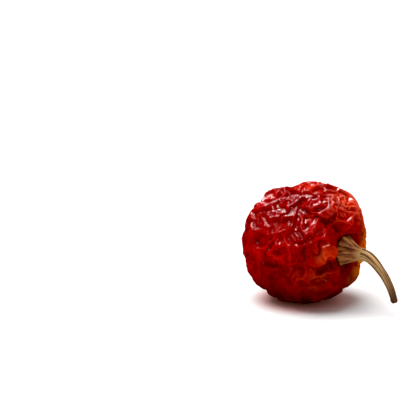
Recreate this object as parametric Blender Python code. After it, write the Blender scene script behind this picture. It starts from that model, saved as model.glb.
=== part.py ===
"""A chilli pepper, dried and shrivelled, lying on its side.

Three pieces: the hollow-ended, lobed pod with its net of wrinkles, the fluted calyx that caps its stem
end, and the curved stem. Metres, +Z up. +X runs along the pepper to its stem. The origin is the middle
of the small flat spot that the pod lies on.
"""
import math

import bmesh
import bpy
import numpy as np
from mathutils import Matrix, Vector, noise

MM = 0.001
GAP = 0.32 * MM  # left between neighbouring pieces

# Pod: its own axes have +X to the stem and their origin at its middle
POD_HALF_WIDTH = 20.0 * MM
POD_STEM_REACH = 19.4 * MM
POD_TIP_REACH = 19.2 * MM
POD_SQUARENESS = 2.6  # 2 is an ellipse, more is blockier
POD_HEIGHT = 19.4 * MM  # of its middle over the ground
POD_TILT = math.radians(2.5)  # nose of the stem end, down

# Hollow that the calyx sits in
HOLLOW_DEPTH = 6.0 * MM
HOLLOW_ANGLE = math.radians(26)
HOLLOW_STEEPNESS = 7
HOLLOW_SAMPLES = 200  # along its outline

# Lip of the hollow: how much further out it lies, at what degrees round the axis, half width in degrees
LIPS = (
    (math.radians(-4), -12, 38),  # the top lobe hangs over the hollow
    (math.radians(5), 48, 30),  # the near side dips above the calyx
)

# Broad dents: depth, degrees round the axis and half width, degrees from the stem end and half width
DENTS = (
    (1.5 * MM, -172, 50, 46, 17),  # heel: the underside drawn in towards the stem end
    (2.6 * MM, -4, 42, 114, 14),  # saddle behind the top
)

# Lobe grooves: angle round the axis (0 up, 90 towards -Y), depth, half width in degrees
GROOVES = (
    (38, 3.1 * MM, 13),
    (102, 2.9 * MM, 10),
    (172, 1.8 * MM, 14),
    (236, 2.4 * MM, 13),
    (300, 2.2 * MM, 13),
)
GROOVE_START = (12, 38)  # degrees from the stem end
GROOVE_END = (60, 150)
GROOVE_FADE = 0.8
GROOVE_ROUNDING = 0.05

# Sag of the drying flesh: broad dents
SAG_SIZE = 14 * MM
SAG_HEIGHT = 0.55 * MM
SAG_SEED = 17
SEED_SHIFT = Vector((13.7, 5.1, 9.3))  # moves the noise for each seed
AXIS_SHIFT = Vector((31.4, 7.7, 19.2))  # and for each of its three values

# Wrinkles: a net of sharp ridges with long dimples between them
WARPS = ((7.0 * MM, 1.3 * MM, 2), (2.5 * MM, 0.4 * MM, 3))  # size, strength, seed
DIMPLES = 290
DIMPLE_DEPTH = 0.9 * MM
DIMPLE_LONGEST = 2.8  # times as long as wide
DIMPLE_JITTER = 0.33
DIMPLE_OFFSET = 0.35
DIMPLE_SEED = 11
RIDGE_SOFTNESS = 0.06
RELIEF_LIMIT = 0.8
GRAIN = Vector((1, 0.6, 0.6))  # the way most wrinkles run
GRAIN_SHARE = 0.9
CHUNK = 4096  # points worked out at once
SMOOTH_HOLLOW = (16, 34)  # degrees from the stem end where the wrinkles begin

# Flat spot that the pod lies on
REST_RADIUS = 4.5 * MM
REST_BLEND = 8.0 * MM
REST_SNAP = 0.03 * MM

# Mesh of the pod
POD_SUBDIVISIONS = 7
POD_TRIANGLES = 7600

# Calyx: measured along the pod's axis and from it
CALYX_LOBES = 5
CALYX_TURN = math.radians(9)
CALYX_RADIUS = 4.7 * MM
CALYX_LOBE_LENGTH = 0.6 * MM
CALYX_TOP_LENGTH = 0.4 * MM  # more at the top, less below
CALYX_EDGE = 0.8 * MM
CALYX_NECK_RADIUS = 1.95 * MM
CALYX_NECK_AT = 21.3 * MM
CALYX_FLARE = 1.7
CALYX_FLUTE = 0.13
CALYX_TWIST = math.radians(9)
COLLAR_HEIGHT = 0.35 * MM
COLLAR_AT = 0.9
COLLAR_WIDTH = 0.07
CALYX_AROUND = 40
CALYX_OUTER_RINGS = 13
CALYX_UNDER_RINGS = 3

# Stem
STEM_LENGTH = 19.0 * MM
STEM_STEPS = 20
STEM_BEND = math.radians(27)  # quick turn downwards at the collar
STEM_BEND_LENGTH = 1.6 * MM
STEM_CURVE = math.radians(46)  # slow turn along the rest
STEM_RADII = ((0.0, 2.0), (0.16, 1.72), (0.42, 1.42), (0.68, 1.27), (0.9, 1.08), (0.965, 1.14), (1.0, 0.8))
STEM_RIBS = 6
STEM_RIB_HEIGHT = 0.07  # as a share of the radius
STEM_SIDES = 18

# Colour and roughness
POD_FINISH = ((0.36, 0.004, 0.003), 0.2)
CALYX_FINISH = ((0.24, 0.13, 0.055), 0.7)
STEM_FINISH = ((0.27, 0.17, 0.055), 0.65)


def smoothstep(low, high, x):
    t = np.clip((x - low) / (high - low), 0, 1)
    return t * t * (3 - 2 * t)


def bump(x):
    return np.exp(-x * x)


def turned(phi, angle):
    """Degrees from one angle to another, the short way round."""
    return (phi - angle + 180) % 360 - 180


def polar(n):
    """Angle from the stem end, and angle round the axis in degrees."""
    alpha = np.arccos(np.clip(n[:, 0], -1, 1))
    phi = np.degrees(np.arctan2(-n[:, 1], n[:, 2]))
    return alpha, phi


def pod_radius(n):
    """Distance from the pod's middle to its surface in each direction, without the wrinkles."""
    alpha, phi = polar(n)
    reach = np.where(n[:, 0] > 0, POD_STEM_REACH, POD_TIP_REACH)
    along = np.abs(np.cos(alpha) / reach) ** POD_SQUARENESS
    across = np.abs(np.sin(alpha) / POD_HALF_WIDTH) ** POD_SQUARENESS
    radius = (along + across) ** (-1 / POD_SQUARENESS)
    degrees = np.degrees(alpha)
    share = smoothstep(*GROOVE_START, degrees) * (1 - GROOVE_FADE * smoothstep(*GROOVE_END, degrees))
    for angle, depth, width in GROOVES:
        x = turned(phi, angle) / width
        radius -= depth * share * np.exp(-np.sqrt(x * x + GROOVE_ROUNDING))
    for depth, angle, width, from_stem, length in DENTS:
        radius -= depth * bump(turned(phi, angle) / width) * bump((degrees - from_stem) / length)
    hollow = HOLLOW_ANGLE + sum(wider * bump(turned(phi, angle) / width) for wider, angle, width in LIPS)
    return radius - HOLLOW_DEPTH * np.exp(-((alpha / hollow) ** HOLLOW_STEEPNESS))


def noise_vectors(points, size, seed):
    """Three smooth values for each point."""
    shifts = [seed * SEED_SHIFT + k * AXIS_SHIFT for k in range(3)]
    return np.array([[noise.noise(Vector(p) / size + shift) for shift in shifts] for p in points])


def spread_directions(count):
    """Directions spread evenly over a ball by the golden angle."""
    k = np.arange(count) + 0.5
    z = 1 - 2 * k / count
    turn = math.pi * (1 + 5**0.5) * k
    flat = np.sqrt(1 - z * z)
    return np.stack([flat * np.cos(turn), flat * np.sin(turn), z], axis=1)


def ridge_net(points):
    """Relief of long dimples, one round each of many sites, with sharp ridges where they meet."""
    rng = np.random.default_rng(DIMPLE_SEED)
    spacing = math.sqrt(4 * math.pi / DIMPLES)
    sites = spread_directions(DIMPLES) + rng.normal(0, DIMPLE_JITTER * spacing, (DIMPLES, 3))
    sites /= np.linalg.norm(sites, axis=1, keepdims=True)
    across = rng.normal(0, 1, (DIMPLES, 3)) + GRAIN_SHARE * np.cross(sites, GRAIN)
    across -= (across * sites).sum(1)[:, None] * sites
    across /= np.linalg.norm(across, axis=1, keepdims=True)
    stretch = rng.uniform(1, DIMPLE_LONGEST, DIMPLES) ** 2 - 1
    offset = rng.uniform(-DIMPLE_OFFSET, DIMPLE_OFFSET, DIMPLES) * DIMPLE_DEPTH
    curve = DIMPLE_DEPTH / (spacing * POD_HALF_WIDTH / 2) ** 2
    sites *= pod_radius(sites)[:, None]
    soft = RIDGE_SOFTNESS * DIMPLE_DEPTH
    relief = np.empty(len(points))
    for start in range(0, len(points), CHUNK):
        away = points[start : start + CHUNK, None, :] - sites[None]
        bowl = curve * ((away**2).sum(2) + stretch * (away * across).sum(2) ** 2) + offset
        lowest = bowl.min(1)
        fade = np.exp(-(bowl - lowest[:, None]) / soft).sum(1)
        relief[start : start + CHUNK] = lowest - soft * np.log(fade)
    limit = DIMPLE_DEPTH * RELIEF_LIMIT
    return limit * np.tanh((relief - relief.mean()) / limit)


def clear_of_hollow(directions):
    """0 on the hollow's floor and 1 outside it."""
    alpha, _ = polar(directions)
    return smoothstep(*SMOOTH_HOLLOW, np.degrees(alpha))


def wrinkle_share(directions, points):
    """1 where the skin is wrinkled, 0 on the hollow's floor and under the pod."""
    distance = np.hypot(points[:, 0], points[:, 1])
    under = (1 - smoothstep(REST_RADIUS, REST_BLEND, distance)) * (points[:, 2] < 0)
    return clear_of_hollow(directions) * (1 - under)


def set_points(mesh, points):
    mesh.vertices.foreach_set("co", points.astype(np.float32).ravel())
    mesh.update()


def get_vectors(source, name):
    values = np.empty(len(source) * 3, np.float32)
    source.foreach_get(name, values)
    return values.reshape(-1, 3).astype(float)


def pod_frame():
    """From the pod's own axes to the world."""
    return Matrix.Translation((0, 0, POD_HEIGHT)) @ Matrix.Rotation(POD_TILT, 4, "Y")


def to_world(points):
    frame = np.array(pod_frame())
    return points @ frame[:3, :3].T + frame[:3, 3]


def pod_points(mesh):
    """The pod's surface over each vertex of a ball's mesh, in world space."""
    directions = get_vectors(mesh.vertices, "co")
    directions /= np.linalg.norm(directions, axis=1, keepdims=True)
    points = directions * pod_radius(directions)[:, None]
    sag = noise_vectors(points, SAG_SIZE, SAG_SEED) * SAG_HEIGHT
    points += sag * clear_of_hollow(directions)[:, None]
    set_points(mesh, points)
    normals = get_vectors(mesh.vertex_normals, "vector")
    warped = points.copy()
    for size, strength, seed in WARPS:
        warped += noise_vectors(points, size, seed) * strength
    relief = ridge_net(warped) * wrinkle_share(directions, points)
    points += normals * relief[:, None]
    return flatten_rest(to_world(points))


def flatten_rest(points):
    """Lets the pod down on its flat spot."""
    distance = np.hypot(points[:, 0], points[:, 1])
    low = points[:, 2] < POD_HEIGHT / 2
    lift = np.where(low, smoothstep(REST_RADIUS, REST_BLEND, distance), 1)
    points[:, 2] = np.maximum(points[:, 2] * lift, 0)
    return points


def new_object(name, mesh, finish, collection):
    colour, roughness = finish
    material = bpy.data.materials.new(name)
    material.use_nodes = True
    shader = material.node_tree.nodes["Principled BSDF"]
    shader.inputs["Base Color"].default_value = (*colour, 1)
    shader.inputs["Roughness"].default_value = roughness
    shader.inputs["Metallic"].default_value = 0
    mesh.materials.clear()
    mesh.materials.append(material)
    obj = bpy.data.objects.new(name, mesh)
    collection.objects.link(obj)
    return obj


def evaluated_mesh(obj):
    graph = bpy.context.evaluated_depsgraph_get()
    return bpy.data.meshes.new_from_object(obj.evaluated_get(graph))


def make_pod(collection):
    shape = bmesh.new()
    bmesh.ops.create_icosphere(shape, subdivisions=POD_SUBDIVISIONS, radius=1)
    mesh = bpy.data.meshes.new("pod")
    shape.to_mesh(mesh)
    shape.free()
    set_points(mesh, pod_points(mesh))
    pod = new_object("pod", mesh, POD_FINISH, collection)
    fewer = pod.modifiers.new("fewer", "DECIMATE")
    fewer.ratio = POD_TRIANGLES / len(mesh.polygons)
    pod.data = evaluated_mesh(pod)
    pod.modifiers.clear()
    points = get_vectors(pod.data.vertices, "co")
    points[points[:, 2] < REST_SNAP, 2] = 0
    set_points(pod.data, points)
    pod.data.shade_smooth()
    return pod


def hollow_profile(phi):
    """Along one angle round the axis: distance from the axis and along it, on the hollow's surface."""
    alpha = np.linspace(0, 2 * HOLLOW_ANGLE, HOLLOW_SAMPLES)
    flat = np.sin(alpha)
    n = np.stack([np.cos(alpha), -flat * math.sin(phi), flat * math.cos(phi)], axis=1)
    radius = pod_radius(n)
    return radius * flat, radius * np.cos(alpha)


def calyx_column(phi):
    """The calyx's outline at one angle round the axis, from under its middle out to the edge and up to
    the neck, as pairs of distance along the axis and distance from it."""
    out, along = hollow_profile(phi)
    slope = np.gradient(along, out)
    lean = np.arctan(slope)
    under_out = out - GAP * np.sin(lean)
    under_along = along + GAP * np.cos(lean)
    lobe = math.cos(CALYX_LOBES * (phi - CALYX_TURN))
    edge = CALYX_RADIUS + CALYX_LOBE_LENGTH * lobe * abs(lobe) + CALYX_TOP_LENGTH * math.cos(phi)
    column = []
    for k in range(1, CALYX_UNDER_RINGS + 1):
        at = edge * k / CALYX_UNDER_RINGS
        column.append((np.interp(at, under_out, under_along), at))
    rim = column[-1][0] + CALYX_EDGE
    for k in range(CALYX_OUTER_RINGS + 1):
        up = k / CALYX_OUTER_RINGS
        flute = math.cos(CALYX_LOBES * (phi - CALYX_TURN) + CALYX_TWIST * up * CALYX_LOBES)
        at = CALYX_NECK_RADIUS + (edge - CALYX_NECK_RADIUS) * (1 - up) ** CALYX_FLARE
        at *= 1 + CALYX_FLUTE * flute * math.sin(math.pi * up)
        at += COLLAR_HEIGHT * math.exp(-(((up - COLLAR_AT) / COLLAR_WIDTH) ** 2))
        column.append((rim + (CALYX_NECK_AT - rim) * up, at))
    return column


def make_calyx(collection):
    shape = bmesh.new()
    rings = []
    for k in range(CALYX_AROUND):
        phi = 2 * math.pi * k / CALYX_AROUND
        points = [(x, -r * math.sin(phi), r * math.cos(phi)) for x, r in calyx_column(phi)]
        rings.append([shape.verts.new(p) for p in points])
    floor = hollow_profile(0)[1][0] + GAP
    middle = shape.verts.new((floor, 0, 0))
    top = shape.verts.new((CALYX_NECK_AT, 0, 0))
    for k, column in enumerate(rings):
        other = rings[(k + 1) % CALYX_AROUND]
        shape.faces.new((middle, column[0], other[0]))
        shape.faces.new((top, other[-1], column[-1]))
        for low in range(len(column) - 1):
            shape.faces.new((column[low], column[low + 1], other[low + 1], other[low]))
    bmesh.ops.recalc_face_normals(shape, faces=shape.faces)
    mesh = bpy.data.meshes.new("calyx")
    shape.to_mesh(mesh)
    shape.free()
    mesh.shade_smooth()
    calyx = new_object("calyx", mesh, CALYX_FINISH, collection)
    calyx.matrix_world = pod_frame()
    return calyx


def stem_points():
    """The stem's middle line in world space, from its face at the collar to its cut tip."""
    point = pod_frame() @ Vector((CALYX_NECK_AT + GAP, 0, 0))
    points = [point.copy()]
    step = STEM_LENGTH / STEM_STEPS
    for k in range(STEM_STEPS):
        at = (k + 0.5) * step
        turned = STEM_BEND * (1 - math.exp(-((at / STEM_BEND_LENGTH) ** 2)))
        heading = POD_TILT + turned + STEM_CURVE * at / STEM_LENGTH
        point += step * Vector((math.cos(heading), 0, -math.sin(heading)))
        points.append(point.copy())
    return points


def make_stem(collection, guides):
    outline = bpy.data.curves.new("stem_outline", "CURVE")
    ring = outline.splines.new("POLY")
    ring.points.add(STEM_SIDES - 1)
    for k, point in enumerate(ring.points):
        turn = 2 * math.pi * k / STEM_SIDES
        radius = MM * (1 + STEM_RIB_HEIGHT * math.cos(STEM_RIBS * turn))
        point.co = (radius * math.cos(turn), -radius * math.sin(turn), 0, 1)
    ring.use_cyclic_u = True
    guide = bpy.data.objects.new("stem_outline", outline)
    guide.hide_render = True
    guide.display_type = "WIRE"
    guides.objects.link(guide)
    curve = bpy.data.curves.new("stem", "CURVE")
    curve.dimensions = "3D"
    curve.bevel_mode = "OBJECT"
    curve.bevel_object = guide
    curve.use_fill_caps = True
    line = curve.splines.new("POLY")
    points = stem_points()
    line.points.add(len(points) - 1)
    shares, radii = zip(*STEM_RADII)
    for k, point in enumerate(line.points):
        point.co = (*points[k], 1)
        point.radius = float(np.interp(k / STEM_STEPS, shares, radii))
    stem = new_object("stem", curve, STEM_FINISH, collection)
    return stem


def main():
    for obj in list(bpy.data.objects):
        bpy.data.objects.remove(obj)
    collection = bpy.data.collections.new("chilli_pepper")
    guides = bpy.data.collections.new("guides")
    bpy.context.scene.collection.children.link(collection)
    bpy.context.scene.collection.children.link(guides)
    make_pod(collection)
    make_calyx(collection)
    make_stem(collection, guides)


main()
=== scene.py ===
"""Looks of a dried chilli pepper lying on its side.

The pod's skin is the same surface as the solid's, on a finer mesh, and then wrinkled further: the skin
grows a little against the flesh under it and buckles, as a drying pepper's does. The calyx and stem are
finer lofts of the same outlines, with ribs and fibres. Metres, +Z up, +X along the pepper to its stem.
"""
import math

import bmesh
import bpy
import numpy as np
from mathutils import Matrix, Vector, noise


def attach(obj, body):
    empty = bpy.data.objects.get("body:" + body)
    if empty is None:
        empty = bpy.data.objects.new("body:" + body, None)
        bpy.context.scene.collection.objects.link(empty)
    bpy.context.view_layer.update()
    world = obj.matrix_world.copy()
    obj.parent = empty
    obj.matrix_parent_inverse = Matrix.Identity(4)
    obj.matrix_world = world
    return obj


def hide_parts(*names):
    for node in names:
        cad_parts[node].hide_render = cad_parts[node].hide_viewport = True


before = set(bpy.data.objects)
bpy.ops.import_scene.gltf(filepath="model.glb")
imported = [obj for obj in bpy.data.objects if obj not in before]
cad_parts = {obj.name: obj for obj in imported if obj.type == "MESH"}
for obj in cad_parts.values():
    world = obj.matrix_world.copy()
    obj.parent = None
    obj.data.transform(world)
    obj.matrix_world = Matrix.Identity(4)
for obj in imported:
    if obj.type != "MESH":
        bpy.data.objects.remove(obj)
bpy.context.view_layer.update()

MM = 0.001

# Pod: the same form as the solid's
POD_HALF_WIDTH = 20.0 * MM
POD_STEM_REACH = 19.4 * MM
POD_TIP_REACH = 19.2 * MM
POD_SQUARENESS = 2.6
POD_HEIGHT = 19.4 * MM
POD_TILT = math.radians(2.5)
HOLLOW_DEPTH = 6.0 * MM
HOLLOW_ANGLE = math.radians(26)
HOLLOW_STEEPNESS = 7
HOLLOW_SAMPLES = 200
LIPS = (  # how much further out the hollow's lip lies, at what degrees round the axis, half width
    (math.radians(-4), -12, 38),
    (math.radians(5), 48, 30),
)
DENTS = (  # depth, degrees round the axis and half width, degrees from the stem end and half width
    (1.5 * MM, -172, 50, 46, 17),
    (2.6 * MM, -4, 42, 114, 14),
)
GROOVES = (  # degrees round the axis, depth, half width in degrees
    (38, 3.1 * MM, 13),
    (102, 2.9 * MM, 10),
    (172, 1.8 * MM, 14),
    (236, 2.4 * MM, 13),
    (300, 2.2 * MM, 13),
)
GROOVE_START = (12, 38)
GROOVE_END = (60, 150)
GROOVE_FADE = 0.8
GROOVE_ROUNDING = 0.05
SAG_SIZE = 14 * MM
SAG_HEIGHT = 0.55 * MM
SAG_SEED = 17
SEED_SHIFT = Vector((13.7, 5.1, 9.3))
AXIS_SHIFT = Vector((31.4, 7.7, 19.2))
WARPS = ((7.0 * MM, 1.3 * MM, 2), (2.5 * MM, 0.4 * MM, 3))  # size, strength, seed
DIMPLES = 290
DIMPLE_DEPTH = 0.9 * MM
DIMPLE_LONGEST = 2.8
DIMPLE_JITTER = 0.33
DIMPLE_OFFSET = 0.35
DIMPLE_SEED = 11
RIDGE_SOFTNESS = 0.06
RELIEF_LIMIT = 0.8
GRAIN = Vector((1, 0.6, 0.6))
GRAIN_SHARE = 0.9
CHUNK = 4096
SMOOTH_HOLLOW = (16, 34)
REST_RADIUS = 4.5 * MM
REST_BLEND = 8.0 * MM

# Skin: how the fine mesh is made and how it shrivels
SKIN_LEVEL = 6
SKIN_CUTS = 2
SHRIVEL_STEPS = 160
STRETCH_PASSES = 2
GROWTH_RAMP = 0.6  # share of the steps in which the lengths grow
GROWTH_ALL = 0.06  # of the skin's lengths, in every direction
GROWTH_ONE_WAY = 0.10  # and on top of that in one direction, which lays the folds across it
GROWTH_SWING = 150  # degrees that this direction would swing from the pod's length where noise is 1
GROWTH_PATCH = 9 * MM
SHRIVEL_HOLLOW = (14, 30)  # degrees from the stem end between which the shrivelling sets in
INWARD_PATCH = 8 * MM
INWARD_RANGE = (0.0, 0.25)
LIP_MORE = 0.5  # more growth on the top lobe by the hollow
LIP_SPOT = (50, 20, -5, 40)  # degrees from the stem end and half width, degrees round the axis and half width
CREASE_DEPTH = 0.55 * MM  # long soft creases between flatter parts
CREASE_WIDTH = 0.055
CREASE_SIZE = 11 * MM
CREASE_STRETCH = np.array([1.5, 0.8, 0.8])  # creases run round the pod rather than along it
DIMPLE_SHARE = 0.7  # how much of the solid's dimples is left where they are weakest
DIMPLE_RANGE = (-0.2, 0.3)
SKIN_BEND = 0.25
SKIN_STRETCH = 0.225
SKIN_FIRM = 0.02
SKIN_FREE = 0.0015
SKIN_SLIDE = 0.01
SKIN_MOMENTUM = 0.425
SKIN_KICK = 0.03 * MM
SKIN_SEED = 5
TINY = 1e-9

# Where each noise is read, so that no two are alike
DIMPLE_NOISE = (3, 3, 8)
CREASE_NOISE = (6, 1, 2)
GRAIN_NOISE = (4, 2, 9)
INWARD_NOISE = (1, 7, 3)

# What the skin's colours know: relief over the skin smoothed so many times, in these units
RIDGE_SMOOTHING = 60
RIDGE_UNIT = 0.5 * MM
CREST_SMOOTHING = 6
CREST_UNIT = 0.05 * MM
# heights over the floor across which the painted shade low down fades out
LOW_SHADE_HEIGHTS = (2 * MM, 19 * MM)
# degrees over which the painted shade in the stem-end hollow fades out
HOLLOW_SHADE = (14, 24)  # degrees from the stem end

# Paler parts, mostly painted light: degrees from the stem end and half width, degrees round the axis and half
# width
# painted glow: where light through the thin skin of the far shoulder is painted on
GLOW_START = (24, 30)
GLOW_END = (46, 66)
GLOW_AT = (-118, 48)
# painted highlight: pale pink glint lines on the top lobe's crests by the hollow
GLINT_SPOT = (50, 14, -14, 30)
# bright red patches, partly the skin's own brighter red and partly painted glow where light falls on and
# through the top and the lips
SCARLET_AND_GLOW_SPOTS = ((50, 14, -14, 30), (86, 7, 4, 12), (60, 30, -100, 60), (41, 7, 84, 11))
# brownish patches on the low near shoulder, partly the skin's own colour and partly painted warm reflection,
# with paler painted reflection along their crests
RUST_AND_REFLECTION_SPOTS = ((42, 8, 84, 12), (52, 20, 126, 22))

# Calyx and stem: the same outlines as the solids'
CALYX_LOBES = 5
CALYX_TURN = math.radians(9)
CALYX_RADIUS = 4.7 * MM
CALYX_LOBE_LENGTH = 0.6 * MM
CALYX_TOP_LENGTH = 0.4 * MM
CALYX_EDGE = 0.8 * MM
CALYX_NECK_RADIUS = 1.95 * MM
CALYX_NECK_AT = 21.3 * MM
CALYX_FLARE = 1.7
CALYX_FLUTE = 0.13
CALYX_TWIST = math.radians(9)
CALYX_SEAT = 0.15 * MM  # of its underside over the hollow's floor
CALYX_AROUND = 240
CALYX_RINGS = 70
CALYX_UNDER = 6
SMALL_FLUTES = 0.45
SMALL_FLUTES_TURN = 2.6
SMALL_FLUTES_START = 1.3
CALYX_RAGGED = 0.35 * MM
CALYX_FIBRES = 0.11 * MM
CALYX_CRUMPLE = 0.25 * MM
COLLAR_HEIGHT = 0.1 * MM
COLLAR_AT = 0.9
COLLAR_WIDTH = 0.07
GAP = 0.32 * MM  # between the solids' calyx and stem
STEM_LENGTH = 19.0 * MM
STEM_STEPS = 60
STEM_START = -0.4 * MM
STEM_AROUND = 120
STEM_RINGS = 150
STEM_BEND = math.radians(27)
STEM_BEND_LENGTH = 1.6 * MM
STEM_CURVE = math.radians(46)
STEM_RADII = (  # share of the length, radius in millimetres
    (0.0, 2.0),
    (0.16, 1.72),
    (0.42, 1.42),
    (0.68, 1.27),
    (0.9, 1.08),
    (0.965, 1.14),
    (1.0, 0.8),
)
STEM_RIBS = 6
STEM_RIB_HEIGHT = 0.07  # this and the next two as shares of the radius
STEM_FIBRES = 0.14
STEM_LUMPS = 0.05
STEM_RIB_TWIST = 1.5

# Noise round a piece: its radius there, how fast it changes along the piece, and its shift
RAGGED_NOISE = (2.2, 3.0)
CALYX_FIBRE_NOISE = (7, 1.2)
CRUMPLE_NOISE = (1.6, 4, 8)
STEM_FIBRE_NOISE = (3, 1.5)
LUMP_NOISE = (1.5, 6)
FIBRE_STRETCH = 0.3

# Sockets of a mix node that hold its colours
MIX_LOW = 6
MIX_HIGH = 7
MIX_RESULT = 2

# Skin colours
RED = (0.38, 0.007, 0.006)
DEEP_RED = (0.25, 0.003, 0.003)
# painted shade: dark red put in the dents and low down on the skin
SHADE_MAROON = (0.11, 0.001, 0.001)
# bright red, partly the skin's own colour and partly painted glow
SCARLET_AND_GLOW = (0.62, 0.028, 0.008)
# painted highlight: pale pink for glint lines on the crests
GLINT_PINK = (0.80, 0.20, 0.13)
# painted glow: light coming through the thin skin of the far shoulder
GLOW_ORANGE = (0.95, 0.33, 0.02)
# brownish, partly the skin's own colour and partly painted warm reflection
RUST_AND_REFLECTION = (0.36, 0.05, 0.012)
# paler, for painted reflection along the crests of the brownish patches
PALE_RUST_AND_REFLECTION = (0.45, 0.12, 0.05)
# painted shade: near-black brown for the dark gaps in the stem-end hollow beside the calyx
HOLLOW_SHADE_BROWN = (0.02, 0.006, 0.002)

# Noise sizes, and the ranges and shares with which each colour comes in
BROAD_SIZE = 12 * MM
PATCH_SIZE = 3.5 * MM
FINE_SIZE = 0.8 * MM
FINE_DEPTH = 0.10 * MM
RED_RANGE = (0.40, 0.62)
SCARLET_AND_GLOW_RANGE = (0.3, 0.6, 0.5, 1.0)
GLINT_RANGE = (0.3, 2.0)
GLINT_SHARE = 0.5
RUST_AND_REFLECTION_RANGE = (0.35, 0.65)
RUST_AND_REFLECTION_SHARE = 0.7
PALE_RUST_AND_REFLECTION_RANGE = (0.4, 3.0)
PALE_RUST_AND_REFLECTION_SHARE = 0.16
GLOW_RANGE = (0.3, 0.55, 0.3, 1.0)
# painted shade in the dents: how deep a dent must be, and how much it darkens
DENT_SHADE_RANGE = (0.2, -1.5)
DENT_SHADE_SHARE = 0.85
LOW_SHADE_SHARE = 0.95
HOLLOW_SHADE_RANGE = (0.3, 0.5, 0.5, 1.0)
SKIN_ROUGHNESS = (0.3, 0.7, 0.07, 0.15)
SKIN_IOR = 1.42
LIGHT_SHARE = 0.7  # share of the light that goes into the skin
LIGHT_REACH = (1.0, 0.12, 0.04)  # how far its red, green and blue go there
LIGHT_SCALE = 0.8 * MM

# Fibres of calyx and stem
FIBRE_RANGE = (0.40, 0.60)
FIBRE_ROUGHNESS = (0.3, 0.7, 0.75, 0.48)
STAIN_SIZE = 0.9
STAIN_RANGE = (0.42, 0.72)
STAIN_SHARE = 0.75

# Floor
FLOOR = (0.84, 0.84, 0.84)
FLOOR_SIZE = 60
FLOOR_ROUGHNESS = 0.8
# painted light: a red tint in the floor's colour inside the pod's shadow, standing for light through its skin
SHADOW_TINT = (1.0, 0.42, 0.36)
SHADOW_TINT_AT = (8 * MM, 21 * MM)

# Lights: degrees from the camera's side to its right, degrees up, distance, power
KEY_LIGHT = (-112, 72, 1.0, 4.6)
KEY_WIDTH = math.radians(60)
TOP_BOX = (-142, 66, 0.5, 3.6)
TOP_BOX_SIZE = (0.23, 0.13)
FRONT_BOX = (-22, 46, 0.5, 0.5)
FRONT_BOX_SIZE = 0.08
ROOM_LIGHT = 0.50
BLACK_LEVEL = 0.008

# Camera: the pod's middle shows at this pixel of the 416-pixel frame
FRAME_PIXELS = 416
SHOWN_AT = (306, 243)
PIXEL = 0.335 * MM
CAMERA_TURN = math.radians(30)
CAMERA_RISE = math.radians(14)
LENS = 100
SENSOR = 36
CLIP_START = 0.01


def smoothstep(low, high, x):
    t = np.clip((x - low) / (high - low), 0, 1)
    return t * t * (3 - 2 * t)


def bump(x):
    return np.exp(-x * x)


def turned(phi, angle):
    """Degrees from one angle to another, the short way round."""
    return (phi - angle + 180) % 360 - 180


def polar(n):
    """Angle from the stem end, and angle round the axis in degrees."""
    alpha = np.arccos(np.clip(n[:, 0], -1, 1))
    phi = np.degrees(np.arctan2(-n[:, 1], n[:, 2]))
    return alpha, phi


def pod_radius(n):
    """Distance from the pod's middle to its surface in each direction, without the wrinkles."""
    alpha, phi = polar(n)
    reach = np.where(n[:, 0] > 0, POD_STEM_REACH, POD_TIP_REACH)
    along = np.abs(np.cos(alpha) / reach) ** POD_SQUARENESS
    across = np.abs(np.sin(alpha) / POD_HALF_WIDTH) ** POD_SQUARENESS
    radius = (along + across) ** (-1 / POD_SQUARENESS)
    degrees = np.degrees(alpha)
    share = smoothstep(*GROOVE_START, degrees) * (1 - GROOVE_FADE * smoothstep(*GROOVE_END, degrees))
    for angle, depth, width in GROOVES:
        x = turned(phi, angle) / width
        radius -= depth * share * np.exp(-np.sqrt(x * x + GROOVE_ROUNDING))
    for depth, angle, width, from_stem, length in DENTS:
        radius -= depth * bump(turned(phi, angle) / width) * bump((degrees - from_stem) / length)
    hollow = HOLLOW_ANGLE + sum(wider * bump(turned(phi, angle) / width) for wider, angle, width in LIPS)
    return radius - HOLLOW_DEPTH * np.exp(-((alpha / hollow) ** HOLLOW_STEEPNESS))


def noise_vectors(points, size, seed):
    """Three smooth values for each point."""
    shifts = [seed * SEED_SHIFT + k * AXIS_SHIFT for k in range(3)]
    return np.array([[noise.noise(Vector(p) / size + shift) for shift in shifts] for p in points])


def noise_values(points, size, offset):
    return np.array([noise.noise(Vector(p) / size + Vector(offset)) for p in points])


def spread_directions(count):
    k = np.arange(count) + 0.5
    z = 1 - 2 * k / count
    turn = math.pi * (1 + 5**0.5) * k
    flat = np.sqrt(1 - z * z)
    return np.stack([flat * np.cos(turn), flat * np.sin(turn), z], axis=1)


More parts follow.
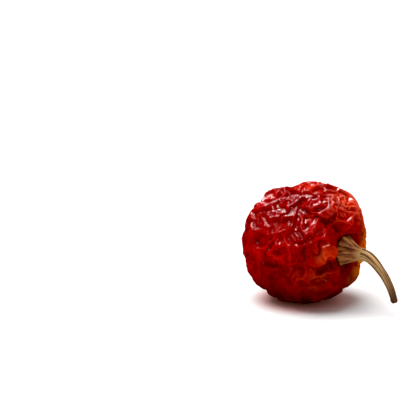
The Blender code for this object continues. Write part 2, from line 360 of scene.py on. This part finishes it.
def ridge_net(points):
    """Relief of long dimples, one round each of many sites, with sharp ridges where they meet."""
    rng = np.random.default_rng(DIMPLE_SEED)
    spacing = math.sqrt(4 * math.pi / DIMPLES)
    sites = spread_directions(DIMPLES) + rng.normal(0, DIMPLE_JITTER * spacing, (DIMPLES, 3))
    sites /= np.linalg.norm(sites, axis=1, keepdims=True)
    across = rng.normal(0, 1, (DIMPLES, 3)) + GRAIN_SHARE * np.cross(sites, GRAIN)
    across -= (across * sites).sum(1)[:, None] * sites
    across /= np.linalg.norm(across, axis=1, keepdims=True)
    stretch = rng.uniform(1, DIMPLE_LONGEST, DIMPLES) ** 2 - 1
    offset = rng.uniform(-DIMPLE_OFFSET, DIMPLE_OFFSET, DIMPLES) * DIMPLE_DEPTH
    curve = DIMPLE_DEPTH / (spacing * POD_HALF_WIDTH / 2) ** 2
    sites *= pod_radius(sites)[:, None]
    soft = RIDGE_SOFTNESS * DIMPLE_DEPTH
    relief = np.empty(len(points))
    for start in range(0, len(points), CHUNK):
        away = points[start : start + CHUNK, None, :] - sites[None]
        bowl = curve * ((away**2).sum(2) + stretch * (away * across).sum(2) ** 2) + offset
        lowest = bowl.min(1)
        fade = np.exp(-(bowl - lowest[:, None]) / soft).sum(1)
        relief[start : start + CHUNK] = lowest - soft * np.log(fade)
    limit = DIMPLE_DEPTH * RELIEF_LIMIT
    return limit * np.tanh((relief - relief.mean()) / limit)


def clear_of_hollow(directions):
    """0 on the hollow's floor and 1 outside it."""
    alpha, _ = polar(directions)
    return smoothstep(*SMOOTH_HOLLOW, np.degrees(alpha))


def wrinkle_share(directions, points):
    """1 where the skin is wrinkled, 0 on the hollow's floor and under the pod."""
    distance = np.hypot(points[:, 0], points[:, 1])
    under = (1 - smoothstep(REST_RADIUS, REST_BLEND, distance)) * (points[:, 2] < 0)
    return clear_of_hollow(directions) * (1 - under)


def set_points(mesh, points):
    mesh.vertices.foreach_set("co", points.astype(np.float32).ravel())
    mesh.update()


def get_vectors(source, name):
    values = np.empty(len(source) * 3, np.float32)
    source.foreach_get(name, values)
    return values.reshape(-1, 3).astype(float)


def pod_frame():
    """From the pod's own axes to the world."""
    return Matrix.Translation((0, 0, POD_HEIGHT)) @ Matrix.Rotation(POD_TILT, 4, "Y")


def to_world(points):
    turn = np.array(pod_frame())
    return points @ turn[:3, :3].T + turn[:3, 3]


def pod_points(mesh, directions):
    """The pod's surface in each direction in world space, with its dimples and creases."""
    points = directions * pod_radius(directions)[:, None]
    sag = noise_vectors(points, SAG_SIZE, SAG_SEED) * SAG_HEIGHT
    points += sag * clear_of_hollow(directions)[:, None]
    set_points(mesh, points)
    normals = get_vectors(mesh.vertex_normals, "vector")
    warped = points.copy()
    for size, strength, seed in WARPS:
        warped += noise_vectors(points, size, seed) * strength
    patches = noise_values(points, CREASE_SIZE, DIMPLE_NOISE)
    kept = DIMPLE_SHARE + (1 - DIMPLE_SHARE) * smoothstep(*DIMPLE_RANGE, patches)
    crease = bump(noise_values(warped * CREASE_STRETCH, CREASE_SIZE, CREASE_NOISE) / CREASE_WIDTH)
    relief = (ridge_net(warped) * kept - CREASE_DEPTH * crease) * wrinkle_share(directions, points)
    points += normals * relief[:, None]
    return flatten_rest(to_world(points))


def flatten_rest(points):
    """Lets the pod down on its flat spot."""
    distance = np.hypot(points[:, 0], points[:, 1])
    low = points[:, 2] < POD_HEIGHT / 2
    lift = np.where(low, smoothstep(REST_RADIUS, REST_BLEND, distance), 1)
    points[:, 2] = np.maximum(points[:, 2] * lift, 0)
    return points


def ball_mesh():
    """A ball of about 184,000 small triangles, and each vertex's direction from its middle."""
    shape = bmesh.new()
    bmesh.ops.create_icosphere(shape, subdivisions=SKIN_LEVEL, radius=1)
    bmesh.ops.subdivide_edges(shape, edges=shape.edges, cuts=SKIN_CUTS, use_grid_fill=True)
    mesh = bpy.data.meshes.new("pod_skin")
    shape.to_mesh(mesh)
    shape.free()
    directions = get_vectors(mesh.vertices, "co")
    return mesh, directions / np.linalg.norm(directions, axis=1, keepdims=True)


def neighbours(mesh):
    """For each vertex the vertices joined to it, filled up with itself, and how many they are."""
    edges = np.empty(len(mesh.edges) * 2, np.int32)
    mesh.edges.foreach_get("vertices", edges)
    edges = edges.reshape(-1, 2)
    pairs = np.concatenate([edges, edges[:, ::-1]])
    pairs = pairs[np.argsort(pairs[:, 0], kind="stable")]
    count = np.bincount(pairs[:, 0])
    start = np.concatenate([[0], np.cumsum(count)[:-1]])
    ring = np.repeat(np.arange(len(count))[:, None], count.max(), 1)
    for k in range(count.max()):
        has = count > k
        ring[has, k] = pairs[start[has] + k, 1]
    return ring, count


def grain(points, normals):
    """The direction that the skin grows most in: the pod's length, swung to either side by patches."""
    ahead = np.array(pod_frame())[:3, 0]
    ahead = ahead - (normals @ ahead)[:, None] * normals
    ahead /= np.linalg.norm(ahead, axis=1, keepdims=True) + TINY
    swing = np.radians(GROWTH_SWING) * noise_values(points, GROWTH_PATCH, GRAIN_NOISE)
    return np.cos(swing)[:, None] * ahead + np.sin(swing)[:, None] * np.cross(normals, ahead)


def shrivel(mesh, points, loose, inwards):
    """Lets the skin's lengths grow while the flesh holds it: it buckles into folds and fine ridges.

    Each step pulls the edges towards their grown lengths, evens out bending, and draws the skin back to
    where it was: firmly where it dips in and hardly where it stands out, or the other way round where
    the skin creases inwards.
    """
    set_points(mesh, points)
    normals = get_vectors(mesh.vertex_normals, "vector").astype(np.float32)
    most = grain(points, normals).astype(np.float32)
    firm_in = (SKIN_FIRM + (SKIN_FREE - SKIN_FIRM) * inwards).astype(np.float32)
    firm_out = (SKIN_FREE + (SKIN_FIRM - SKIN_FREE) * inwards).astype(np.float32)
    ring, count = neighbours(mesh)
    padding = (ring.shape[1] - count).astype(np.float32)[:, None]
    share = (1 / count).astype(np.float32)[:, None]

    def bend_of(p):
        return (p[ring].sum(1) - padding * p) * share - p

    rest = points.astype(np.float32)
    away = rest[ring] - rest[:, None]
    lengths = np.maximum(np.linalg.norm(away, axis=2), TINY)
    along = ((away * most[:, None]).sum(2) / lengths) ** 2
    grown = (GROWTH_ALL + GROWTH_ONE_WAY * along) * (loose[ring] + loose[:, None]) / 2
    grown = grown.astype(np.float32)
    flat = bend_of(rest)
    kick = np.random.default_rng(SKIN_SEED).normal(0, SKIN_KICK, len(rest)).astype(np.float32)
    p = rest + normals * kick[:, None]
    for step in range(SHRIVEL_STEPS):
        wanted = lengths * (1 + grown * min(1, (step + 1) / (GROWTH_RAMP * SHRIVEL_STEPS)))
        before = p.copy()
        for _ in range(STRETCH_PASSES):
            away = p[ring] - p[:, None]
            now = np.sqrt((away * away).sum(2)) + TINY
            p = p + SKIN_STRETCH * ((1 - wanted / now)[:, :, None] * away).sum(1)
        p = p - SKIN_BEND * bend_of(bend_of(p) - flat)
        moved = p - rest
        out = (moved * normals).sum(1)
        held = np.where(out < 0, firm_in, firm_out)
        p = p - (held * out)[:, None] * normals - SKIN_SLIDE * (moved - out[:, None] * normals)
        p = p + SKIN_MOMENTUM * (p - before)
    return p.astype(float)


def smooth_values(values, ring, count, times):
    """Averages each vertex's value with its neighbours', again and again."""
    for _ in range(times):
        total = values[ring].sum(1) - (ring.shape[1] - count) * values
        values = (values + total / count) / 2
    return values


def add_attribute(mesh, name, values):
    attribute = mesh.attributes.new(name, "FLOAT", "POINT")
    attribute.data.foreach_set("value", values.astype(np.float32))


def relief_of(mesh, points, times):
    """How far each point stands out over its smoothed surroundings."""
    ring, count = neighbours(mesh)
    set_points(mesh, points)
    normals = get_vectors(mesh.vertex_normals, "vector")
    smooth = np.stack([smooth_values(points[:, k], ring, count, times) for k in range(3)], axis=1)
    return ((points - smooth) * normals).sum(1)


def pod_skin():
    """The pod's wrinkled mesh, with what its colours need to know at each point."""
    mesh, directions = ball_mesh()
    points = pod_points(mesh, directions)
    alpha, phi = polar(directions)
    degrees = np.degrees(alpha)
    loose = smoothstep(*SHRIVEL_HOLLOW, degrees) * (1 + LIP_MORE * spot(degrees, phi, *LIP_SPOT))
    distance = np.hypot(points[:, 0], points[:, 1])
    loose *= np.where(points[:, 2] < POD_HEIGHT / 2, smoothstep(REST_RADIUS, REST_BLEND, distance), 1)
    inwards = smoothstep(*INWARD_RANGE, noise_values(points, INWARD_PATCH, INWARD_NOISE))
    points = shrivel(mesh, points, loose, inwards)
    points[:, 2] = np.maximum(points[:, 2], 0)
    add_attribute(mesh, "ridge", relief_of(mesh, points, RIDGE_SMOOTHING) / RIDGE_UNIT)
    add_attribute(mesh, "crest", relief_of(mesh, points, CREST_SMOOTHING) / CREST_UNIT)
    for name, share in flushes(degrees, phi).items():
        add_attribute(mesh, name, share)
    # painted shade: a share that darkens the skin towards the floor, where its underside lies in shade
    add_attribute(mesh, "low", 1 - smoothstep(*LOW_SHADE_HEIGHTS, points[:, 2]))
    # painted shade: a share that is 1 in the stem-end hollow
    add_attribute(mesh, "hollow", 1 - smoothstep(*HOLLOW_SHADE, degrees))
    set_points(mesh, points)
    return mesh


def spot(degrees, phi, from_stem, length, angle, width):
    """1 in the middle of a soft-edged spot and 0 far from it, its sizes in degrees."""
    return bump((degrees - from_stem) / length) * bump(turned(phi, angle) / width)


def flushes(degrees, phi):
    """Where the skin is paler, mostly painted light: a glow through the far shoulder, glint lines on the top
    lobe's crests, and bright red and brownish patches that are partly their own colour and partly painted
    glow and reflection.
    """
    rim = smoothstep(*GLOW_START, degrees) * (1 - smoothstep(*GLOW_END, degrees))
    return {
        # painted glow of light through the far shoulder's thin skin
        "painted_glow": rim * bump(turned(phi, GLOW_AT[0]) / GLOW_AT[1]),
        # painted highlight: where glint lines go on the top lobe's crests
        "ridge_glints": spot(degrees, phi, *GLINT_SPOT),
        # bright red patches, partly own colour and partly painted glow
        "scarlet_and_glow": np.clip(sum(spot(degrees, phi, *place) for place in SCARLET_AND_GLOW_SPOTS), 0, 1),
        # brownish patches, partly own colour and partly painted warm reflection
        "rust_and_reflection": np.clip(sum(spot(degrees, phi, *place) for place in RUST_AND_REFLECTION_SPOTS), 0, 1),
    }


def make_pod():
    mesh = pod_skin()
    mesh.shade_smooth()
    return new_piece("pod_skin", mesh, "pod", skin_material())


def new_piece(name, mesh, node, material):
    piece = bpy.data.objects.new(name, mesh)
    bpy.context.scene.collection.objects.link(piece)
    mesh.materials.append(material)
    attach(piece, "root")
    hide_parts(node)
    return piece


def tube_mesh(name, rings, closed_ends):
    """A mesh from rings of points, each with the same count, closed at its ends by a point each.

    Its points know their share of the way along, and a place that fibres along the piece follow.
    """
    shape = bmesh.new()
    rows = [[shape.verts.new(p) for p in ring] for ring in rings]
    first, last = (shape.verts.new(p) for p in closed_ends)
    around = len(rows[0])
    for k in range(around):
        other = (k + 1) % around
        shape.faces.new((first, rows[0][other], rows[0][k]))
        shape.faces.new((last, rows[-1][k], rows[-1][other]))
        for low, high in zip(rows, rows[1:]):
            shape.faces.new((low[k], low[other], high[other], high[k]))
    bmesh.ops.recalc_face_normals(shape, faces=shape.faces)
    mesh = bpy.data.meshes.new(name)
    shape.to_mesh(mesh)
    shape.free()
    mesh.shade_smooth()
    share = np.append(np.repeat(np.arange(len(rings)) / (len(rings) - 1), around), (0, 1))
    turn = np.append(np.tile(2 * math.pi * np.arange(around) / around, len(rings)), (0, 0))
    add_attribute(mesh, "along", share)
    fibre = mesh.attributes.new("fibre", "FLOAT_VECTOR", "POINT")
    place = np.stack([np.cos(turn), np.sin(turn), FIBRE_STRETCH * share], axis=1)
    fibre.data.foreach_set("vector", place.ravel())
    return mesh


def ring_noise(turn, along, radius, stretch, shift=0):
    """Smooth noise on a piece's side, at an angle round it and a share of the way along it."""
    return noise.noise((radius * math.cos(turn) + shift, radius * math.sin(turn), stretch * along))


def hollow_profile(phi):
    """Along one angle round the axis: distance from the axis and along it, on the hollow's surface."""
    alpha = np.linspace(0, 2 * HOLLOW_ANGLE, HOLLOW_SAMPLES)
    flat = np.sin(alpha)
    n = np.stack([np.cos(alpha), -flat * math.sin(phi), flat * math.cos(phi)], axis=1)
    radius = pod_radius(n)
    return radius * flat, radius * np.cos(alpha)


def calyx_column(phi):
    """The calyx's outline at one angle round the axis, from under its middle out to the edge and up to
    the neck, as pairs of distance along the axis and distance from it."""
    out, along = hollow_profile(phi)
    lobe = math.cos(CALYX_LOBES * (phi - CALYX_TURN))
    ragged = CALYX_RAGGED * ring_noise(phi, 1, *RAGGED_NOISE)
    edge = CALYX_RADIUS + CALYX_LOBE_LENGTH * lobe * abs(lobe) + CALYX_TOP_LENGTH * math.cos(phi) + ragged
    column = []
    for k in range(1, CALYX_UNDER + 1):
        at = edge * k / CALYX_UNDER
        column.append((np.interp(at, out, along) + CALYX_SEAT, at))
    rim = column[-1][0] + CALYX_EDGE
    for k in range(CALYX_RINGS + 1):
        up = k / CALYX_RINGS
        turn = CALYX_LOBES * (phi - CALYX_TURN) + CALYX_TWIST * up * CALYX_LOBES
        small = math.cos(SMALL_FLUTES_TURN * turn + SMALL_FLUTES_START)
        flute = math.cos(turn) + SMALL_FLUTES * small * (1 - up)
        at = CALYX_NECK_RADIUS + (edge - CALYX_NECK_RADIUS) * (1 - up) ** CALYX_FLARE
        at *= 1 + CALYX_FLUTE * flute * math.sin(math.pi * up)
        at += COLLAR_HEIGHT * math.exp(-(((up - COLLAR_AT) / COLLAR_WIDTH) ** 2))
        fibre = ring_noise(phi, up, *CALYX_FIBRE_NOISE)
        crumple = ring_noise(phi, up, *CRUMPLE_NOISE)
        at += CALYX_FIBRES * fibre + CALYX_CRUMPLE * crumple * (1 - up)
        column.append((rim + (CALYX_NECK_AT - rim) * up, at))
    return column


def make_calyx():
    columns = [calyx_column(2 * math.pi * k / CALYX_AROUND) for k in range(CALYX_AROUND)]
    turn = pod_frame()
    rings = []
    for level in range(len(columns[0])):
        ring = []
        for k, column in enumerate(columns):
            phi = 2 * math.pi * k / CALYX_AROUND
            along, out = column[level]
            ring.append(turn @ Vector((along, -out * math.sin(phi), out * math.cos(phi))))
        rings.append(ring)
    floor = hollow_profile(0)[1][0] + CALYX_SEAT
    ends = (turn @ Vector((floor, 0, 0)), turn @ Vector((CALYX_NECK_AT, 0, 0)))
    mesh = tube_mesh("calyx_fine", rings, ends)
    return new_piece("calyx_fine", mesh, "calyx", calyx_material())


def stem_line(at):
    """Point and heading on the stem's middle line, at a length from the collar."""
    point = pod_frame() @ Vector((CALYX_NECK_AT + GAP, 0, 0))
    for k in range(STEM_STEPS):
        middle = at * (k + 0.5) / STEM_STEPS
        bend = STEM_BEND * (1 - math.exp(-((max(middle, 0) / STEM_BEND_LENGTH) ** 2)))
        heading = POD_TILT + bend + STEM_CURVE * middle / STEM_LENGTH
        point += at / STEM_STEPS * Vector((math.cos(heading), 0, -math.sin(heading)))
    return point, heading


def make_stem():
    shares, radii = zip(*STEM_RADII)
    rings = []
    for k in range(STEM_RINGS + 1):
        at = STEM_START + (STEM_LENGTH - STEM_START) * k / STEM_RINGS
        point, heading = stem_line(at)
        share = at / STEM_LENGTH
        radius = float(np.interp(share, shares, radii)) * MM
        side = Vector((0, 1, 0))
        up = Vector((math.sin(heading), 0, math.cos(heading)))
        ring = []
        for j in range(STEM_AROUND):
            turn = 2 * math.pi * j / STEM_AROUND
            rib = STEM_RIB_HEIGHT * math.cos(STEM_RIBS * turn + STEM_RIB_TWIST * share)
            rib += STEM_FIBRES * ring_noise(turn, share, *STEM_FIBRE_NOISE)
            rib += STEM_LUMPS * ring_noise(turn, share, *LUMP_NOISE)
            out = radius * (1 + rib)
            ring.append(point + out * (math.cos(turn) * up + math.sin(turn) * side))
        rings.append(ring)
    mesh = tube_mesh("stem_fine", rings, (stem_line(STEM_START)[0], stem_line(STEM_LENGTH)[0]))
    return new_piece("stem_fine", mesh, "stem", stem_material())


class Graph:
    """A material's nodes, with short ways to add the kinds used here."""

    def __init__(self, name):
        self.material = bpy.data.materials.new(name)
        self.material.use_nodes = True
        self.nodes = self.material.node_tree.nodes
        self.links = self.material.node_tree.links
        self.shader = self.nodes["Principled BSDF"]

    def set(self, **values):
        """Sets the shader's sockets, each to a value or to another node's output."""
        for name, value in values.items():
            socket = self.shader.inputs[name.replace("_", " ")]
            if isinstance(value, bpy.types.NodeSocket):
                self.links.new(value, socket)
            else:
                socket.default_value = value

    def attribute(self, name, output="Fac"):
        node = self.nodes.new("ShaderNodeAttribute")
        node.attribute_name = name
        return node.outputs[output]

    def noise(self, size, detail=3.0, distortion=0.0, place=None):
        """Noise whose features have a real size, in the object's own space unless a place is given."""
        texture = self.nodes.new("ShaderNodeTexNoise")
        texture.inputs["Scale"].default_value = 1 / size
        texture.inputs["Detail"].default_value = detail
        texture.inputs["Distortion"].default_value = distortion
        if place is None:
            place = self.nodes.new("ShaderNodeTexCoord").outputs["Object"]
        self.links.new(place, texture.inputs["Vector"])
        return texture.outputs["Fac"]

    def ranged(self, value, low, high, to_low=0.0, to_high=1.0):
        node = self.nodes.new("ShaderNodeMapRange")
        node.interpolation_type = "SMOOTHSTEP"
        self.links.new(value, node.inputs["Value"])
        node.inputs["From Min"].default_value = low
        node.inputs["From Max"].default_value = high
        node.inputs["To Min"].default_value = to_low
        node.inputs["To Max"].default_value = to_high
        return node.outputs["Result"]

    def times(self, *values):
        result = values[0]
        for value in values[1:]:
            node = self.nodes.new("ShaderNodeMath")
            node.operation = "MULTIPLY"
            self.links.new(result, node.inputs[0])
            if isinstance(value, bpy.types.NodeSocket):
                self.links.new(value, node.inputs[1])
            else:
                node.inputs[1].default_value = value
            result = node.outputs["Value"]
        return result

    def mix(self, share, low, high):
        """A colour between two others, each a colour or another node's output."""
        node = self.nodes.new("ShaderNodeMix")
        node.data_type = "RGBA"
        self.links.new(share, node.inputs["Factor"])
        for socket, value in ((node.inputs[MIX_LOW], low), (node.inputs[MIX_HIGH], high)):
            if isinstance(value, tuple):
                socket.default_value = (*value, 1)
            else:
                self.links.new(value, socket)
        return node.outputs[MIX_RESULT]

    def distance(self):
        """How far a point is from the object's own origin."""
        node = self.nodes.new("ShaderNodeVectorMath")
        node.operation = "LENGTH"
        self.links.new(self.nodes.new("ShaderNodeTexCoord").outputs["Object"], node.inputs[0])
        return node.outputs["Value"]

    def bump(self, height, distance):
        node = self.nodes.new("ShaderNodeBump")
        node.inputs["Distance"].default_value = distance
        self.links.new(height, node.inputs["Height"])
        return node.outputs["Normal"]


def skin_material():
    """Glossy, translucent red, with painted shade in the dents, low down and in the stem-end hollow, and
    paler parts that are mostly painted glow, glints and reflection.
    """
    g = Graph("pod_skin")
    broad = g.noise(BROAD_SIZE, detail=2)
    patch = g.noise(PATCH_SIZE, detail=3)
    crest = g.attribute("crest")
    shares = (
        # bright red patches, partly own colour and partly painted glow
        (g.times(g.attribute("scarlet_and_glow"), g.ranged(patch, *SCARLET_AND_GLOW_RANGE)), SCARLET_AND_GLOW),
        # painted highlight: pale pink glint lines on the crests
        (g.times(g.attribute("ridge_glints"), g.ranged(crest, *GLINT_RANGE), GLINT_SHARE), GLINT_PINK),
        # brownish patches, partly own colour and partly painted warm reflection
        (g.times(g.attribute("rust_and_reflection"), g.ranged(patch, *RUST_AND_REFLECTION_RANGE), RUST_AND_REFLECTION_SHARE), RUST_AND_REFLECTION),
        # paler painted reflection along the crests there
        (g.times(g.attribute("rust_and_reflection"), g.ranged(crest, *PALE_RUST_AND_REFLECTION_RANGE), PALE_RUST_AND_REFLECTION_SHARE), PALE_RUST_AND_REFLECTION),
        # painted glow on the far shoulder, in patches
        (g.times(g.attribute("painted_glow"), g.ranged(patch, *GLOW_RANGE)), GLOW_ORANGE),
        # painted shade: dark red in the dents between the ridges
        (g.times(g.ranged(g.attribute("ridge"), *DENT_SHADE_RANGE), DENT_SHADE_SHARE), SHADE_MAROON),
        # painted shade: dark red low down, on the shaded underside
        (g.times(g.attribute("low"), LOW_SHADE_SHARE), SHADE_MAROON),
        # painted shade: near-black in the stem-end hollow, in patches
        (g.times(g.attribute("hollow"), g.ranged(patch, *HOLLOW_SHADE_RANGE)), HOLLOW_SHADE_BROWN),
    )
    colour = g.mix(g.ranged(broad, *RED_RANGE), DEEP_RED, RED)
    for share, other in shares:
        colour = g.mix(share, colour, other)
    g.set(
        Base_Color=colour,
        Roughness=g.ranged(patch, *SKIN_ROUGHNESS),
        IOR=SKIN_IOR,
        Subsurface_Weight=LIGHT_SHARE,
        Subsurface_Radius=LIGHT_REACH,
        Subsurface_Scale=LIGHT_SCALE,
        Normal=g.bump(g.noise(FINE_SIZE, detail=4, distortion=0.6), FINE_DEPTH),
    )
    return g.material


def fibre_material(name, dark, light, tip, tip_at, size, relief):
    """Dry fibres along the piece, which take the tip's colour between two shares of its length."""
    g = Graph(name)
    place = g.attribute("fibre", "Vector")
    fibres = g.noise(size, detail=4, distortion=0.2, place=place)
    stains = g.noise(STAIN_SIZE, detail=3, distortion=0.5, place=place)
    colour = g.mix(g.ranged(fibres, *FIBRE_RANGE), dark, light)
    colour = g.mix(g.times(g.ranged(stains, *STAIN_RANGE), STAIN_SHARE), colour, dark)
    colour = g.mix(g.ranged(g.attribute("along"), *tip_at), colour, tip)
    g.set(
        Base_Color=colour,
        Roughness=g.ranged(fibres, *FIBRE_ROUGHNESS),
        Normal=g.bump(fibres, relief),
    )
    return g.material


def calyx_material():
    return fibre_material(
        "calyx",
        dark=(0.13, 0.033, 0.005),
        light=(0.58, 0.21, 0.045),
        tip=(0.44, 0.24, 0.08),
        tip_at=(0.6, 1.0),
        size=0.13,
        relief=0.08 * MM,
    )


def stem_material():
    return fibre_material(
        "stem",
        dark=(0.12, 0.045, 0.008),
        light=(0.68, 0.41, 0.16),
        tip=(0.10, 0.028, 0.003),
        tip_at=(0.52, 0.98),
        size=0.26,
        relief=0.2 * MM,
    )


def make_floor():
    """Pale ground, with a painted red tint close round the pod that stands for light coming through its skin
    into its shadow.
    """
    bpy.ops.mesh.primitive_plane_add(size=FLOOR_SIZE)
    floor = bpy.context.object
    floor.name = "floor"
    g = Graph("floor")
    # painted light: share of the red tint, close round the pod where its shadow falls
    near = g.ranged(g.distance(), *SHADOW_TINT_AT)
    g.set(Base_Color=g.mix(near, SHADOW_TINT, FLOOR), Roughness=FLOOR_ROUGHNESS, Specular_IOR_Level=0.0)
    floor.data.materials.append(g.material)
    floor.visible_glossy = False


def make_camera():
    """Looks so that the pod's middle shows at its pixel, with no roll and no shift."""
    flat = math.cos(CAMERA_RISE)
    back = Vector((math.sin(CAMERA_TURN) * flat, -math.cos(CAMERA_TURN) * flat, math.sin(CAMERA_RISE)))
    camera = bpy.data.objects.new("camera", bpy.data.cameras.new("camera"))
    bpy.context.scene.collection.objects.link(camera)
    camera.data.lens = LENS
    camera.data.sensor_width = SENSOR
    camera.data.clip_start = CLIP_START
    camera.location = Vector((0, 0, POD_HEIGHT)) + back * (PIXEL * FRAME_PIXELS * LENS / SENSOR)
    right = (SHOWN_AT[0] - FRAME_PIXELS / 2) * SENSOR / FRAME_PIXELS / LENS
    up = (FRAME_PIXELS / 2 - SHOWN_AT[1]) * SENSOR / FRAME_PIXELS / LENS
    ray = Vector((right, 1, up)).normalized()
    wanted = -back
    pitch = math.asin(wanted.z / math.hypot(ray.y, ray.z)) - math.atan2(ray.z, ray.y)
    ahead = ray.y * math.cos(pitch) - ray.z * math.sin(pitch)
    yaw = math.atan2(wanted.y, wanted.x) - math.atan2(ahead, ray.x)
    camera.rotation_euler = (math.pi / 2 + pitch, 0, yaw)
    bpy.context.scene.camera = camera


def point_round_pod(turn, rise, distance):
    """A point round the pod: turn in degrees from the camera's side to its right, and height angle."""
    angle = CAMERA_TURN + math.radians(turn)
    rise = math.radians(rise)
    flat = math.cos(rise)
    middle = Vector((0, 0, POD_HEIGHT))
    return middle + distance * Vector((math.sin(angle) * flat, -math.cos(angle) * flat, math.sin(rise)))


def add_light(name, kind, turn, rise, distance, power):
    light = bpy.data.lights.new(name, kind)
    light.energy = power
    obj = bpy.data.objects.new(name, light)
    bpy.context.scene.collection.objects.link(obj)
    obj.location = point_round_pod(turn, rise, distance)
    aim = Vector((0, 0, POD_HEIGHT)) - obj.location
    obj.rotation_euler = aim.to_track_quat("-Z", "Y").to_euler()
    return obj


def make_lights():
    """A broad light from above and behind for the shading, and two boxes that the gloss shows."""
    key = add_light("key", "SUN", *KEY_LIGHT)
    key.data.angle = KEY_WIDTH
    key.visible_glossy = False
    top = add_light("top_box", "AREA", *TOP_BOX)
    top.data.shape = "RECTANGLE"
    top.data.size, top.data.size_y = TOP_BOX_SIZE
    front = add_light("front_box", "AREA", *FRONT_BOX)
    front.data.size = FRONT_BOX_SIZE
    top.visible_diffuse = False
    front.visible_diffuse = False
    world = bpy.data.worlds.new("room")
    world.use_nodes = True
    world.node_tree.nodes["Background"].inputs["Color"].default_value = (1, 1, 1, 1)
    world.node_tree.nodes["Background"].inputs["Strength"].default_value = ROOM_LIGHT
    world.cycles_visibility.glossy = False
    bpy.context.scene.world = world


def set_tone():
    """A plain view with slightly deeper blacks."""
    view = bpy.context.scene.view_settings
    view.view_transform = "Standard"
    view.use_curve_mapping = True
    view.curve_mapping.black_level = (BLACK_LEVEL, BLACK_LEVEL, BLACK_LEVEL)


make_camera()
make_pod()
make_calyx()
make_stem()
make_floor()
make_lights()
set_tone()
